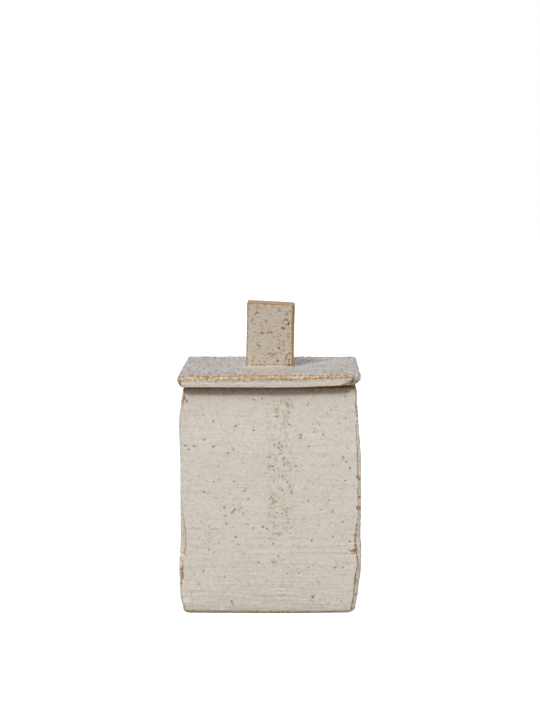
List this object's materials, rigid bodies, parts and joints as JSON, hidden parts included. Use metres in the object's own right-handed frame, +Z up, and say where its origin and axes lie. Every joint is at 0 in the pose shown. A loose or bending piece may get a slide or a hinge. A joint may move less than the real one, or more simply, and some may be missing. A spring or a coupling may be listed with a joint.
{
  "type": "lidded ceramic box",
  "caption": "Tall square stoneware box built from slabs, with an overhanging lift-off lid and a hollow square chimney-shaped knob.",
  "frame": {"origin": "middle of the footprint, on the surface that the box stands on", "axes": "+Z up, +X to the right and -Y to the front, as seen from the front wall"},
  "size_m": [0.1217, 0.1212, 0.2052],
  "materials": {
    "white_glaze": "satin",
    "bare_stoneware": "matte"
  },
  "bodies": {
    "box": {"base_slab": "bare_stoneware", "front_wall": "white_glaze", "right_wall": "white_glaze", "back_wall": "white_glaze", "left_wall": "white_glaze", "front_floor_coil": "white_glaze", "right_floor_coil": "white_glaze", "back_floor_coil": "white_glaze", "left_floor_coil": "white_glaze", "front_right_coil": "white_glaze", "right_back_coil": "white_glaze", "back_left_coil": "white_glaze", "left_front_coil": "white_glaze"},
    "lid": {"lid_slab": "white_glaze", "front_flange_strip": "bare_stoneware", "right_flange_strip": "bare_stoneware", "back_flange_strip": "bare_stoneware", "left_flange_strip": "bare_stoneware", "knob_front": "white_glaze", "knob_right": "white_glaze", "knob_back": "white_glaze", "knob_left": "white_glaze", "knob_cap": "white_glaze"}
  },
  "joints": [
    {"name": "lid_lift", "type": "slide", "parent": "box", "child": "lid", "axis": [0, 0, 1], "range_m": [0, 0.12]}
  ]
}
